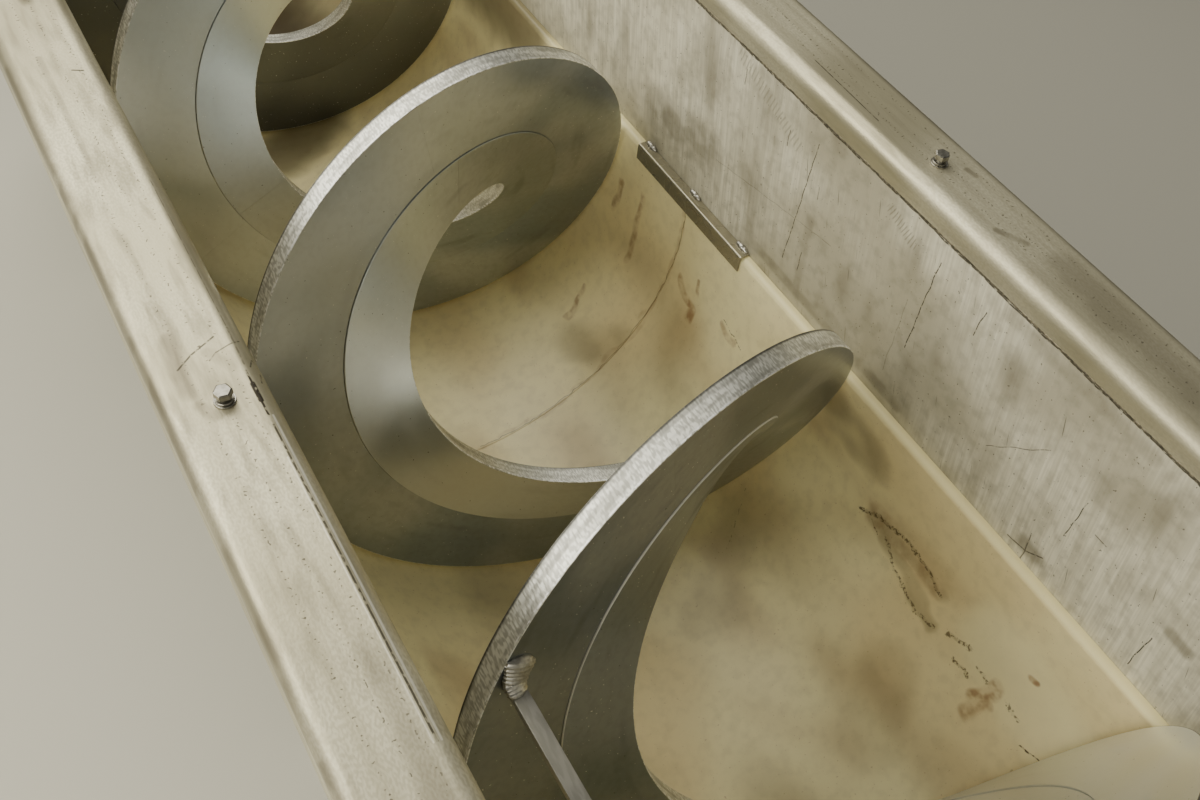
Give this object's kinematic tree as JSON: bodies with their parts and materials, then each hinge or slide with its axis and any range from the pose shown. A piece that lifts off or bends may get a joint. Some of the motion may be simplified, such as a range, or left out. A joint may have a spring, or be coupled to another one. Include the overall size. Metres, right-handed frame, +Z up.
{
  "type": "shaftless screw conveyor",
  "caption": "Open-top shaftless screw conveyor: a right-handed flat-band spiral in a lined steel U-trough on stands, with an end drive and a bottom outlet.",
  "frame": {"origin": "on the floor, under the middle of the part's length and width", "axes": "+Z up, +Y along the trough from the drive towards the outlet, +X to the right seen in that direction"},
  "size_m": [0.674, 3.25, 0.916],
  "materials": {
    "trough_steel": "pickled stainless plate, satin",
    "rail_steel": "formed stainless plate, satin with scratches",
    "end_plate_steel": "pickled stainless plate, satin",
    "spout_steel": "pickled stainless plate, satin",
    "liner_plastic": "cream wear plastic, waxy, with rust-brown stains",
    "clip_steel": "bent stainless strip",
    "stand_steel": "pickled stainless, dull",
    "gland_steel": "turned stainless",
    "gearbox_paint": "blue-grey machine paint, semi-matt",
    "motor_paint": "blue-grey machine paint, semi-matt",
    "cover_paint": "blue-grey machine paint, semi-matt",
    "terminal_box_paint": "blue-grey machine paint, semi-matt",
    "outer_band_steel": "rolled steel face, ground bright rim",
    "inner_band_steel": "rolled steel face, ground bright edge",
    "shaft_steel": "turned steel",
    "bar_steel": "bright flat bar"
  },
  "bodies": {
    "frame": {"trough_plate": "trough_steel", "outlet_trough_plate": "trough_steel", "right_rail": "rail_steel", "left_rail": "rail_steel", "drive_end_plate": "end_plate_steel", "outlet_end_plate": "end_plate_steel", "outlet_spout": "spout_steel", "drive_liner": "liner_plastic", "outlet_liner": "liner_plastic", "right_clip": "clip_steel", "left_clip": "clip_steel", "saddle_1": "stand_steel", "saddle_2": "stand_steel", "saddle_3": "stand_steel", "right_leg_1": "stand_steel", "left_leg_1": "stand_steel", "right_leg_2": "stand_steel", "left_leg_2": "stand_steel", "right_leg_3": "stand_steel", "left_leg_3": "stand_steel", "shaft_gland": "gland_steel", "gearbox": "gearbox_paint", "motor": "motor_paint", "fan_cover": "cover_paint", "terminal_box": "terminal_box_paint"},
    "screw": {"outer_band_1": "outer_band_steel", "outer_band_2": "outer_band_steel", "outer_band_3": "outer_band_steel", "outer_band_4": "outer_band_steel", "outer_band_5": "outer_band_steel", "outer_band_6": "outer_band_steel", "inner_band_1": "inner_band_steel", "inner_band_2": "inner_band_steel", "inner_band_3": "inner_band_steel", "inner_band_4": "inner_band_steel", "inner_band_5": "inner_band_steel", "inner_band_6": "inner_band_steel", "drive_disc": "shaft_steel", "drive_shaft": "shaft_steel", "start_bar_1": "bar_steel", "start_bar_2": "bar_steel", "tie_bar": "bar_steel"}
  },
  "joints": [
    {"name": "screw_spin", "type": "hinge", "parent": "frame", "child": "screw", "pos_m": [0, 0, 0.64], "axis": [0, 1, 0], "continuous": true}
  ]
}
